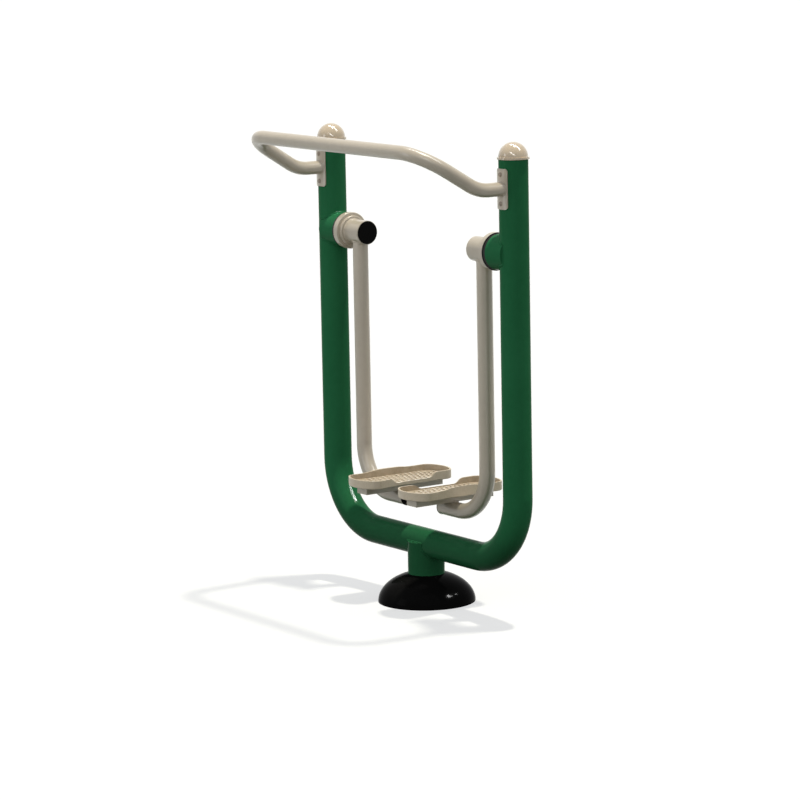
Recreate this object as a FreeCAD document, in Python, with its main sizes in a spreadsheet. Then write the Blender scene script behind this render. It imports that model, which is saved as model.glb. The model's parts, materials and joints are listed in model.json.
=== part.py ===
import FreeCAD, Part
import Sketcher
import math
import os

# Outdoor air walker for one person: a bent tube frame on one short column,
# two swinging arms with foot-shaped pedals, and a handlebar in front.
# Millimetres and degrees. X runs across the frame, the handlebar is towards -Y,
# Z is up, and the origin lies on the ground under the middle of the column.
# Pieces in pairs are made on the right, at +X, and mirrored to the left.

SIZES = [
    # bent frame tube
    ("frame_spacing", 954.6),
    ("frame_tube_dia", 88.9),
    ("frame_tube_wall", 4.0),
    ("frame_run_height", 183.7),
    ("frame_bend_radius", 206.4),
    ("frame_top_height", 1405.0),
    # caps on the two tube ends
    ("cap_rim_overhang", 4.1),
    ("cap_rim_height", 5.7),
    ("cap_plug_length", 24.0),
    ("cap_wall", 3.0),
    ("plug_clearance", 0.2),
    # column and its foot
    ("column_dia", 114.3),
    ("column_wall", 4.5),
    ("column_rise", 6.0),
    ("column_lid", 6.0),
    ("foot_thickness", 12.0),
    ("foot_inset", 18.5),
    ("anchor_edge", 30.0),
    ("anchor_hole_dia", 18.0),
    ("gusset_height", 52.0),
    ("gusset_thickness", 8.0),
    ("gusset_inset", 22.0),
    ("gusset_toe", 10.0),
    # moulded cover over the foot
    ("dome_dia", 303.0),
    ("dome_height", 95.0),
    ("dome_wall", 3.0),
    ("dome_neck_clearance", 0.4),
    # handlebar and its curved plates
    ("bar_dia", 42.0),
    ("bar_wall", 3.0),
    ("bar_drop", 86.0),
    ("bar_bend_reach", 128.7),
    ("bar_front_reach", 324.1),
    ("bar_rise", 118.3),
    ("bar_corner_inset", 13.1),
    ("bar_bend_radius", 131.3),
    ("bar_corner_radius", 108.7),
    ("plate_height", 120.0),
    ("plate_thickness", 4.0),
    ("plate_half_angle", 31.0),
    ("plate_corner", 9.0),
    ("plate_screw_offset", 43.0),
    ("plate_gap", 0.1),
    ("screw_dia", 8.0),
    ("screw_hole_clearance", 0.4),
    ("screw_head_dia", 15.0),
    ("screw_head_height", 4.4),
    ("screw_length", 12.0),
    # pivot bearings
    ("pivot_drop", 281.4),
    ("stub_reach", 83.3),
    ("stub_inset", 3.3),
    ("stub_wall", 7.0),
    ("stub_edge", 4.0),
    ("axle_dia", 30.0),
    ("axle_shoulder", 4.0),
    ("axle_boss_wall", 6.0),
    ("bearing_dia", 62.0),
    ("bearing_width", 16.0),
    ("bearing_ring", 4.5),
    ("bearing_fit", 0.02),
    ("shield_gap", 0.3),
    ("shield_recess", 0.6),
    ("shield_thickness", 1.2),
    ("bearing_back_recess", 7.0),
    ("bearing_front_recess", 12.9),
    ("hub_length", 103.9),
    ("hub_gap", 3.0),
    ("hub_wall", 6.5),
    ("hub_step", 9.5),
    ("hub_step_width", 10.0),
    ("hub_flange", 19.8),
    ("hub_flange_width", 19.0),
    ("hub_edge", 2.5),
    ("hub_shoulder", 4.0),
    ("spacer_wall", 3.0),
    ("nut_width", 41.0),
    ("nut_thickness", 9.0),
    ("axle_end", 1.0),
    ("hub_cap_thickness", 3.0),
    ("hub_cap_margin", 1.7),
    ("hub_cap_plug", 5.0),
    ("hub_cap_plug_wall", 2.6),
    ("seal_inset", 2.0),
    ("seal_lip", 7.0),
    ("seal_clearance", 0.3),
    # swing stops
    ("swing_limit", 50.0),
    ("stop_radius", 40.0),
    ("stop_pin_dia", 8.0),
    ("stop_pin_reach", 4.0),
    ("stop_clearance", 0.4),
    ("stop_slot_depth", 5.0),
    # swinging arms
    ("arm_dia", 48.0),
    ("arm_wall", 3.0),
    ("arm_inset", 151.3),
    ("arm_run_height", 310.3),
    ("arm_bend_radius", 141.0),
    ("arm_run_end", 37.5),
    ("arm_end_wall", 8.0),
    ("arm_end_round", 1.5),
    # channels between arms and pedals
    ("channel_seat", 0.4),
    ("channel_height", 23.4),
    ("channel_length", 290.0),
    ("channel_width", 51.0),
    ("channel_wall", 4.0),
    ("bolt_dia", 8.0),
    ("bolt_length", 10.0),
    ("bolt_head", 13.0),
    ("bolt_head_height", 5.3),
    ("bolt_clearance", 0.5),
    ("bolt_spacing_across", 22.0),
    ("bolt_spacing_along", 200.0),
    # foot-shaped pedals
    ("pedal_spacing", 266.0),
    ("pedal_middle", 0.0),
    ("pedal_length", 344.0),
    ("pedal_width", 152.0),
    ("pedal_heel_width", 138.0),
    ("pedal_toe_radius", 104.0),
    ("pedal_toe_corner", 37.5),
    ("pedal_heel_radius", 108.0),
    ("pedal_heel_corner", 32.0),
    ("pedal_waist", 4.0),
    ("pedal_wall", 5.0),
    ("pedal_edge", 3.0),
    ("pedal_floor", 4.0),
    ("pedal_sole", 5.0),
    ("rim_toe", 25.5),
    ("rim_heel", 28.0),
    ("rim_dip", 10.5),
    ("rim_dip_front", -58.0),
    ("rim_dip_back", 62.0),
    ("rim_dip_radius", 24.0),
    ("rim_crest", 33.8),
    ("rim_crest_front", -15.0),
    ("rim_crest_back", 20.0),
    ("rim_crest_radius", 220.0),
    ("rib_thickness", 4.0),
    ("rib_spacing", 40.0),
    ("rib_inset", 2.5),
    ("tread_height", 3.0),
    ("tread_pitch_across", 22.0),
    ("tread_pitch_along", 17.0),
    ("tread_half_length", 7.0),
    ("tread_half_width", 4.0),
    ("tread_end", 36.0),
    ("tread_side_end", 62.0),
    # overshoot of cutting tools
    ("cut_margin", 1.0),
]
GUSSET_COUNT = 4
ANCHOR_COUNT = 4
TREAD_FIELDS = (((-1, 0, 1), "tread_end"), ((-2, 2), "tread_side_end"))
RIB_COUNT = 3
HEX_SIDES = 6
FULL_TURN = 360

doc = FreeCAD.newDocument("AirWalker")
sheet = doc.addObject("Spreadsheet::Sheet", "Sizes")
for row, (alias, value) in enumerate(SIZES, start=1):
    sheet.set(f"A{row}", alias)
    sheet.set(f"B{row}", str(value))
    sheet.setAlias(f"B{row}", alias)
doc.recompute()

nodes = []


class Size:
    """A length or angle with the sheet formula that gives it."""

    def __init__(self, number, formula=None):
        self.number = float(number)
        self.formula = formula or f"{float(number):.9f}"

    def __add__(self, other):
        other = size(other)
        return Size(self.number + other.number, f"({self.formula} + {other.formula})")

    def __sub__(self, other):
        other = size(other)
        return Size(self.number - other.number, f"({self.formula} - {other.formula})")

    def __mul__(self, other):
        other = size(other)
        return Size(self.number * other.number, f"({self.formula} * {other.formula})")

    def __truediv__(self, other):
        other = size(other)
        return Size(self.number / other.number, f"({self.formula} / {other.formula})")

    def __radd__(self, other):
        return size(other) + self

    def __rsub__(self, other):
        return size(other) - self

    def __rmul__(self, other):
        return size(other) * self

    def __neg__(self):
        return Size(-self.number, f"(0 - {self.formula})")


def size(value):
    return value if isinstance(value, Size) else Size(value)


def root(value):
    return Size(math.sqrt(value.number), f"sqrt({value.formula})")


def sine(angle):
    return Size(math.sin(math.radians(angle.number)), f"sin({angle.formula})")


def cosine(angle):
    return Size(math.cos(math.radians(angle.number)), f"cos({angle.formula})")


def arcsine(value):
    return Size(math.degrees(math.asin(value.number)), f"(asin({value.formula}) / 1 deg)")


def from_sheet(alias):
    return Size(getattr(sheet, alias), f"Sizes.{alias}")


S = type("Sizes", (), {alias: from_sheet(alias) for alias, value in SIZES})
ZERO = size(0)


def bind(item, name, value):
    item.setExpression(name, size(value).formula)


def vector(x, y, z=0):
    return FreeCAD.Vector(size(x).number, size(y).number, size(z).number)


def place(item, x=0, y=0, z=0, axis=(0, 0, 1), angle=0):
    item.Placement = FreeCAD.Placement(vector(x, y, z), FreeCAD.Rotation(FreeCAD.Vector(*axis), angle))
    bind(item, "Placement.Base.x", x)
    bind(item, "Placement.Base.y", y)
    bind(item, "Placement.Base.z", z)
    return item


worked_out = []


def noted(alias, value):
    """Writes a worked-out size into the sheet, where other formulas can name it."""
    row = len(SIZES) + len(worked_out) + 1
    worked_out.append(alias)
    sheet.set(f"A{row}", alias)
    sheet.set(f"B{row}", "=" + value.formula.replace("Sizes.", ""))
    sheet.setAlias(f"B{row}", alias)
    sheet.recompute()
    return Size(value.number, f"Sizes.{alias}")


ALONG_X = dict(axis=(0, 1, 0), angle=90)
TOWARDS_FRONT = dict(axis=(1, 0, 0), angle=90)


def cylinder(name, radius, height, **where):
    item = doc.addObject("Part::Cylinder", name)
    bind(item, "Radius", radius)
    bind(item, "Height", height)
    return place(item, **where)


def cut(name, base, tool):
    item = doc.addObject("Part::Cut", name)
    item.Base = base
    item.Tool = tool
    return item


def fuse(name, *pieces):
    item = doc.addObject("Part::MultiFuse", name)
    item.Shapes = list(pieces)
    item.Refine = True
    return item


def node(item, label):
    item.Label = label
    nodes.append(item)
    return item


def pair(item, label):
    """The right piece and its mirror image on the left."""
    node(item, f"right_{label}")
    twin = doc.addObject("Part::Mirroring", f"left_{label}_mirrored")
    twin.Source = item
    twin.Normal = (1, 0, 0)
    twin.Base = (0, 0, 0)
    return node(twin, f"left_{label}")


def new_body(name):
    return doc.addObject("PartDesign::Body", name)


def sketch(body, role, offset=ZERO):
    plane = [item for item in body.Origin.OriginFeatures if item.Role == role][0]
    item = body.newObject("Sketcher::SketchObject", f"{body.Name}_sketch")
    item.AttachmentSupport = [(plane, "")]
    item.MapMode = "FlatFace"
    bind(item, "AttachmentOffset.Base.z", offset)
    return item


def fix(item, geometry, position, x, y):
    """Ties one sketch point to its two sizes."""
    for kind, value in (("DistanceX", size(x)), ("DistanceY", size(y))):
        rule = Sketcher.Constraint(kind, -1, 1, geometry, position, value.number)
        bind(item, f"Constraints[{item.addConstraint(rule)}]", value)


def circle(item, x, y, radius):
    shape = Part.Circle(vector(x, y), FreeCAD.Vector(0, 0, 1), size(radius).number)
    index = item.addGeometry(shape, False)
    fix(item, index, 3, x, y)
    rule = item.addConstraint(Sketcher.Constraint("Radius", index, size(radius).number))
    bind(item, f"Constraints[{rule}]", radius)


def arc_between(start, end, radius, side):
    """The short arc from start to end, its centre on the given side: 1 is left."""
    chord = end - start
    half = chord.Length / 2
    across = FreeCAD.Vector(-chord.y, chord.x, 0).normalize()
    rise = math.sqrt(radius * radius - half * half)
    centre = (start + end) * 0.5 + across * (rise * side)
    middle = centre - across * (radius * side)
    if side > 0:
        return Part.Arc(start, middle, end)
    return Part.Arc(end, middle, start)


def chain(item, points, closed=True):
    """Lines and arcs through the points: (x, y), or (x, y, radius, side) where an arc leaves."""
    count = len(points) if closed else len(points) - 1
    ends = []
    for number in range(count):
        point = points[number]
        following = points[(number + 1) % len(points)]
        start = vector(point[0], point[1])
        end = vector(following[0], following[1])
        if len(point) > 2:
            shape = arc_between(start, end, size(point[2]).number, point[3])
        else:
            shape = Part.LineSegment(start, end)
        index = item.addGeometry(shape, False)
        first = 1 if item.Geometry[index].StartPoint.distanceToPoint(start) < 1e-6 else 2
        ends.append((index, first, 3 - first))
        if len(point) > 2:
            rule = item.addConstraint(Sketcher.Constraint("Radius", index, size(point[2]).number))
            bind(item, f"Constraints[{rule}]", point[2])
    for number, (index, first, last) in enumerate(ends):
        fix(item, index, first, points[number][0], points[number][1])
        if number + 1 < count or closed:
            follower = ends[(number + 1) % count]
            item.addConstraint(Sketcher.Constraint("Coincident", index, last, follower[0], follower[1]))
        else:
            fix(item, index, last, points[-1][0], points[-1][1])


def rectangle(item, left, right, front, back):
    chain(item, [(left, front), (right, front), (right, back), (left, back)])


def feature(body, kind, profile, **settings):
    item = body.newObject(f"PartDesign::{kind}", f"{body.Name}_{kind}")
    item.Profile = profile
    for name, value in settings.items():
        if isinstance(value, Size):
            bind(item, name, value)
        else:
            setattr(item, name, value)
    profile.Visibility = False
    return item


def changed(item, sign):
    """Recomputes, and checks that the feature added or removed material."""
    doc.recompute()
    base = item.BaseFeature
    grown = item.Shape.Volume - (base.Shape.Volume if base else 0.0)
    assert grown * sign > 0, f"{item.Name} changed nothing"


def pad(body, profile, length, **settings):
    item = feature(body, "Pad", profile, Length=size(length), **settings)
    changed(item, 1)
    return item


def pocket(body, profile, length, **settings):
    item = feature(body, "Pocket", profile, Length=size(length), **settings)
    changed(item, -1)
    return item


def revolve(body, profile, axis="H_Axis"):
    item = feature(body, "Revolution", profile)
    item.ReferenceAxis = (profile, [axis])
    changed(item, 1)
    return item


def sweep(body, kind, section, path):
    item = body.newObject(f"PartDesign::{kind}", f"{body.Name}_{kind}")
    item.Profile = section
    item.Spine = (path, [f"Edge{n + 1}" for n in range(path.GeometryCount)])
    changed(item, -1 if kind == "SubtractivePipe" else 1)
    return item


def round_edges(body, kind, value, wanted):
    """Fillets or chamfers the edges of the last feature for which wanted(edge) is true."""
    base = body.Tip
    names = [f"Edge{n}" for n, edge in enumerate(base.Shape.Edges, start=1) if wanted(edge)]
    assert names, f"{body.Name}: no edge to round"
    item = body.newObject(f"PartDesign::{kind}", f"{body.Name}_{kind}")
    item.Base = (base, names)
    bind(item, "Radius" if kind == "Fillet" else "Size", value)
    doc.recompute()
    return item


def near(value, target):
    return abs(value - size(target).number) < 0.01


def is_ring(edge, radius, x):
    """A circle of this radius about a line along X, at this place on it."""
    curve = edge.Curve
    if not isinstance(curve, Part.Circle) or abs(curve.Axis.x) < 0.99:
        return False
    return near(curve.Radius, radius) and near(curve.Center.x, x)


def pattern(body, kind, original, sketch_used, direction, length, count):
    item = body.newObject(f"PartDesign::{kind}", f"{body.Name}_{kind}")
    item.Originals = [original]
    if kind == "PolarPattern":
        item.Axis = (sketch_used, [direction])
        item.Angle = length
    else:
        item.Direction = (sketch_used, [direction])
        bind(item, "Length", length)
    item.Occurrences = count
    body.Tip = item
    doc.recompute()
    return item


# Shared places, all worked out from the sheet.
upright_x = S.frame_spacing / 2
bar_height = S.frame_top_height - S.bar_drop
pivot_height = S.frame_top_height - S.pivot_drop
tube_radius = S.frame_tube_dia / 2
stub_face = upright_x - S.stub_reach
flange_back = stub_face - S.hub_gap
hub_end = flange_back - S.hub_length
hub_radius = S.bearing_dia / 2 + S.hub_wall
flange_radius = hub_radius + S.hub_flange
stub_radius = flange_radius - S.stub_inset
axle_radius = S.axle_dia / 2
ring_radius = axle_radius + S.bearing_ring
back_bearing = flange_back - S.bearing_back_recess - S.bearing_width
front_bearing = hub_end + S.bearing_front_recess
arm_x = upright_x - S.arm_inset
pedal_x = S.pedal_spacing / 2
channel_bottom = S.arm_run_height + S.arm_dia / 2 - S.channel_seat
channel_top = channel_bottom + S.channel_height
hex_share = cosine(size(FULL_TURN / HEX_SIDES / 2))


# Bent frame: one tube from the top of one upright, through the low run, to the other.
def make_frame():
    body = new_body("frame_tube")
    radius = S.frame_bend_radius
    path = sketch(body, "XZ_Plane")
    bend_height = S.frame_run_height + radius
    chain(path, [
        (-upright_x, S.frame_top_height),
        (-upright_x, bend_height, radius, 1),
        (radius - upright_x, S.frame_run_height),
        (upright_x - radius, S.frame_run_height, radius, 1),
        (upright_x, bend_height),
        (upright_x, S.frame_top_height),
    ], closed=False)
    section = sketch(body, "XY_Plane", S.frame_top_height)
    circle(section, -upright_x, ZERO, tube_radius)
    circle(section, -upright_x, ZERO, tube_radius - S.frame_tube_wall)
    sweep(body, "AdditivePipe", section, path)
    holes = sketch(body, "XZ_Plane")
    for side in (-1, 1):
        for level in (-1, 1):
            hole_height = bar_height + level * S.plate_screw_offset
            circle(holes, side * upright_x, hole_height, S.screw_dia / 2 + S.screw_hole_clearance)
    pocket(body, holes, tube_radius + S.cut_margin, Reversed=True)
    node(body, "u_frame")


# Column: its upper end is coped round the low run and closed by a lid beside it.
def make_column():
    body = new_body("column_tube")
    top = S.frame_run_height + S.column_rise
    foot = sketch(body, "XY_Plane", S.foot_thickness)
    circle(foot, ZERO, ZERO, S.column_dia / 2)
    pad(body, foot, top - S.foot_thickness)
    bore = sketch(body, "XY_Plane", S.foot_thickness)
    circle(bore, ZERO, ZERO, S.column_dia / 2 - S.column_wall)
    pocket(body, bore, top - S.foot_thickness - S.column_lid, Reversed=True)
    cope = sketch(body, "YZ_Plane")
    circle(cope, ZERO, S.frame_run_height, tube_radius)
    pocket(body, cope, S.column_dia + S.cut_margin, Midplane=True)
    node(body, "column")


def make_foot():
    body = new_body("foot_plate")
    radius = S.dome_dia / 2 - S.dome_wall - S.foot_inset
    outline = sketch(body, "XY_Plane")
    circle(outline, ZERO, ZERO, radius)
    pad(body, outline, S.foot_thickness)
    hole = sketch(body, "XY_Plane")
    ring = radius - S.anchor_edge
    diagonal = ring * root(size(0.5))
    circle(hole, diagonal, diagonal, S.anchor_hole_dia / 2)
    drilled = pocket(body, hole, S.foot_thickness, Reversed=True)
    pattern(body, "PolarPattern", drilled, hole, "N_Axis", FULL_TURN, ANCHOR_COUNT)
    node(body, "base_flange")
    inner = S.column_dia / 2
    outer = radius - S.gusset_inset
    for number in range(GUSSET_COUNT):
        rib = new_body(f"gusset_{number + 1}_body")
        side = sketch(rib, "XZ_Plane")
        chain(side, [
            (inner, S.foot_thickness),
            (outer, S.foot_thickness),
            (outer, S.foot_thickness + S.gusset_toe),
            (inner + S.gusset_toe, S.foot_thickness + S.gusset_height),
            (inner, S.foot_thickness + S.gusset_height),
        ])
        pad(rib, side, S.gusset_thickness, Midplane=True)
        place(rib, angle=number * FULL_TURN / GUSSET_COUNT)
        node(rib, f"base_gusset_{number + 1}")


# Moulded cover: a shell between two half ellipsoids, open round the column.
def make_dome():
    shells = []
    for name, inset in (("dome_outside", ZERO), ("dome_inside", S.dome_wall)):
        half = doc.addObject("Part::Ellipsoid", name)
        bind(half, "Radius1", S.dome_height - inset)
        bind(half, "Radius2", S.dome_dia / 2 - inset)
        bind(half, "Radius3", S.dome_dia / 2 - inset)
        half.Angle1 = 0
        half.Angle2 = 90
        shells.append(half)
    shell = cut("dome_shell", *shells)
    neck = cylinder("dome_neck", S.column_dia / 2 + S.dome_neck_clearance, S.dome_height + S.cut_margin)
    node(cut("dome_open", shell, neck), "dome_cover")


def half_ball(name, radius, z):
    item = doc.addObject("Part::Sphere", name)
    bind(item, "Radius", radius)
    item.Angle1 = 0
    item.Angle2 = 90
    return place(item, x=upright_x, z=z)


# Tube cap: a hollow half ball on a thin rim, with a plug that enters the tube.
def make_tube_cap():
    rim_top = S.frame_top_height + S.cap_rim_height
    plug = tube_radius - S.frame_tube_wall - S.plug_clearance
    plug_bottom = S.frame_top_height - S.cap_plug_length
    crown = half_ball("cap_crown", tube_radius, rim_top)
    rim = cylinder("cap_rim", tube_radius + S.cap_rim_overhang, S.cap_rim_height,
                   x=upright_x, z=S.frame_top_height)
    stem = cylinder("cap_stem", plug, S.cap_plug_length + S.cap_rim_height, x=upright_x, z=plug_bottom)
    outside = fuse("cap_outside", crown, rim, stem)
    hollow = half_ball("cap_hollow", plug - S.cap_wall, rim_top)
    bore = cylinder("cap_bore", plug - S.cap_wall, S.cap_plug_length + S.cap_rim_height,
                    x=upright_x, z=plug_bottom)
    inside = fuse("cap_inside", hollow, bore)
    pair(cut("cap_open", outside, inside), "tube_cap")


# Handlebar: a route of straight runs and tangent arcs, swept as a hollow tube.
def rounded_route(points, radii):
    edges = []
    start = points[0]
    for number, radius in enumerate(radii, start=1):
        corner = points[number]
        back = (points[number - 1] - corner).normalize()
        ahead = (points[number + 1] - corner).normalize()
        half = back.getAngle(ahead) / 2
        reach = radius / math.tan(half)
        centre = corner + (back + ahead).normalize() * (radius / math.sin(half))
        middle = centre + (corner - centre).normalize() * radius
        enter = corner + back * reach
        leave = corner + ahead * reach
        edges.append(Part.LineSegment(start, enter).toShape())
        edges.append(Part.Arc(enter, middle, leave).toShape())
        start = leave
    edges.append(Part.LineSegment(start, points[-1]).toShape())
    return Part.Wire(edges)


def sweep_circle(route, radius):
    start = route.Edges[0]
    heading = start.tangentAt(start.FirstParameter)
    ring = Part.Circle(start.valueAt(start.FirstParameter), heading, radius)
    return route.makePipeShell([Part.Wire(ring.toShape())], True, False)


def make_handlebar():
    half = upright_x.number
    level = bar_height.number
    corner_x = half - sheet.bar_corner_inset
    right_half = [
        FreeCAD.Vector(half, -tube_radius.number / 2, level),
        FreeCAD.Vector(half, -sheet.bar_bend_reach, level),
        FreeCAD.Vector(corner_x, -sheet.bar_front_reach, level + sheet.bar_rise),
    ]
    left_half = [FreeCAD.Vector(-point.x, point.y, point.z) for point in reversed(right_half)]
    bends = [sheet.bar_bend_radius, sheet.bar_corner_radius]
    route = rounded_route(right_half + left_half, bends + bends[::-1])
    tube = sweep_circle(route, sheet.bar_dia / 2)
    bore = sweep_circle(route, sheet.bar_dia / 2 - sheet.bar_wall)
    plate_outside = (tube_radius + S.plate_gap + S.plate_thickness).number
    shape = tube.cut(bore)
    low = level - sheet.bar_dia
    for side in (-1, 1):
        foot = FreeCAD.Vector(side * half, 0, low)
        shape = shape.cut(Part.makeCylinder(plate_outside, 2 * sheet.bar_dia, foot))
    item = doc.addObject("Part::Feature", "handlebar_tube")
    item.Shape = max(shape.Solids, key=lambda solid: solid.Volume)
    node(item, "handlebar")


def make_bar_plate():
    body = new_body("bar_plate")
    inside = tube_radius + S.plate_gap
    outside = inside + S.plate_thickness
    across = sine(S.plate_half_angle)
    ahead = cosine(S.plate_half_angle)
    section = sketch(body, "XY_Plane", bar_height - S.plate_height / 2)
    chain(section, [
        (-(outside * across), -(outside * ahead), outside, 1),
        (outside * across, -(outside * ahead)),
        (inside * across, -(inside * ahead), inside, -1),
        (-(inside * across), -(inside * ahead)),
    ])
    pad(body, section, S.plate_height)
    short = S.plate_thickness.number
    level = bar_height.number - S.plate_height.number / 2
    round_edges(body, "Fillet", S.plate_corner, lambda edge: (
        isinstance(edge.Curve, Part.Line) and near(edge.Length, short)
        and (near(edge.BoundBox.ZMin, level) or near(edge.BoundBox.ZMax, level + S.plate_height.number))))
    holes = sketch(body, "XZ_Plane")
    for side in (-1, 1):
        hole_height = bar_height + side * S.plate_screw_offset
        circle(holes, ZERO, hole_height, S.screw_dia / 2 + S.screw_hole_clearance)
    pocket(body, holes, outside + S.cut_margin, Reversed=True)
    place(body, x=upright_x)
    pair(body, "bar_plate")
    for name, side in (("lower", -1), ("upper", 1)):
        make_bar_screw(name, side, outside)


# Low-headed screws, head against the curved plate.
def make_bar_screw(name, side, seat):
    where = dict(x=upright_x, z=bar_height + side * S.plate_screw_offset)
    head = doc.addObject("Part::Cone", f"bar_screw_{name}_head")
    bind(head, "Radius1", S.screw_head_dia / 2)
    bind(head, "Radius2", S.screw_dia / 2)
    bind(head, "Height", S.screw_head_height)
    place(head, y=-seat, **where, **TOWARDS_FRONT)
    shank = cylinder(f"bar_screw_{name}_shank", S.screw_dia / 2, S.screw_length,
                     y=S.screw_length - seat, **where, **TOWARDS_FRONT)
    pair(fuse(f"bar_screw_{name}", head, shank), f"bar_screw_{name}")


# Fixed half of the pivot: stub pipe, axle, bearing inner rings, spacer and nut.
def make_stub():
    body = new_body("stub_pipe")
    boss_inside = axle_radius + S.axle_shoulder + S.bearing_fit
    boss_outside = boss_inside + S.axle_boss_wall
    disc = stub_face + S.stub_wall
    profile = sketch(body, "XZ_Plane")
    chain(profile, [
        (stub_face, boss_inside),
        (stub_face, stub_radius),
        (upright_x, stub_radius),
        (upright_x, stub_radius - S.stub_wall),
        (disc, stub_radius - S.stub_wall),
        (disc, boss_outside),
        (upright_x, boss_outside),
        (upright_x, boss_inside),
    ])
    revolve(body, profile)
    round_edges(body, "Fillet", S.stub_edge, lambda edge: is_ring(edge, stub_radius, stub_face))
    pin_hole = sketch(body, "YZ_Plane", stub_face)
    circle(pin_hole, ZERO, -S.stop_radius, S.stop_pin_dia / 2)
    pocket(body, pin_hole, S.stub_wall, Reversed=True)
    place(body, z=pivot_height)
    wall = cylinder("upright_cope", tube_radius, S.frame_top_height, x=upright_x)
    pair(cut("stub_coped", body, wall), "hub_stub")

    shaft = new_body("axle_shaft")
    profile = sketch(shaft, "XZ_Plane")
    shoulder = axle_radius + S.axle_shoulder
    back = back_bearing + S.bearing_width
    chain(profile, [
        (front_bearing - S.nut_thickness - S.axle_end, ZERO),
        (front_bearing - S.nut_thickness - S.axle_end, axle_radius),
        (back, axle_radius),
        (back, shoulder),
        (upright_x, shoulder),
        (upright_x, ZERO),
    ])
    revolve(shaft, profile)
    place(shaft, z=pivot_height)
    wall = cylinder("axle_cope", tube_radius, S.frame_top_height, x=upright_x)
    pair(cut("axle_coped", shaft, wall), "hub_axle")

    pin_length = S.stub_wall + S.stop_pin_reach + S.hub_gap
    pin = cylinder("stop_pin", S.stop_pin_dia / 2, pin_length,
                   x=stub_face - S.hub_gap - S.stop_pin_reach,
                   z=pivot_height - S.stop_radius, **ALONG_X)
    pair(pin, "stop_pin")


def tube_piece(name, outside, inside, x, length):
    outer = cylinder(f"{name}_outside", outside, length, x=x, z=pivot_height, **ALONG_X)
    inner = cylinder(f"{name}_inside", inside, length, x=x, z=pivot_height, **ALONG_X)
    return cut(f"{name}_ring", outer, inner)


def make_inner_rings():
    seat = axle_radius + S.bearing_fit
    for name, x in (("front", front_bearing), ("back", back_bearing)):
        ring = tube_piece(f"inner_{name}", ring_radius, seat, x, S.bearing_width)
        pair(ring, f"bearing_inner_{name}")
    start = front_bearing + S.bearing_width
    spacer = tube_piece("spacer", seat + S.spacer_wall, seat, start, back_bearing - start)
    pair(spacer, "bearing_spacer")
    nut = doc.addObject("Part::Prism", "nut_blank")
    nut.Polygon = HEX_SIDES
    bind(nut, "Circumradius", S.nut_width / 2 / hex_share)
    bind(nut, "Height", S.nut_thickness)
    place(nut, x=front_bearing - S.nut_thickness, z=pivot_height, **ALONG_X)
    bore = cylinder("nut_bore", seat, S.nut_thickness,
                    x=front_bearing - S.nut_thickness, z=pivot_height, **ALONG_X)
    pair(cut("nut_bored", nut, bore), "axle_nut")


def make_seal():
    outside = stub_radius - S.seal_inset
    seal = tube_piece("seal", outside, outside - S.seal_lip,
                      flange_back + S.seal_clearance, S.hub_gap - S.seal_clearance)
    pair(seal, "hub_seal")


# Swinging half of the pivot: bearing outer rings with shields, hub and end cap.
def make_outer_rings():
    outside = S.bearing_dia / 2
    race = outside - S.bearing_ring
    lip = ring_radius + S.shield_gap
    for name, x in (("front", front_bearing), ("back", back_bearing)):
        body = new_body(f"outer_{name}_body")
        end = x + S.bearing_width
        profile = sketch(body, "XZ_Plane")
        chain(profile, [
            (x, outside),
            (x, race),
            (x + S.shield_recess, race),
            (x + S.shield_recess, lip),
            (x + S.shield_recess + S.shield_thickness, lip),
            (x + S.shield_recess + S.shield_thickness, race),
            (end - S.shield_recess - S.shield_thickness, race),
            (end - S.shield_recess - S.shield_thickness, lip),
            (end - S.shield_recess, lip),
            (end - S.shield_recess, race),
            (end, race),
            (end, outside),
        ])
        revolve(body, profile)
        place(body, z=pivot_height)
        pair(body, f"bearing_outer_{name}")


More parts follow.
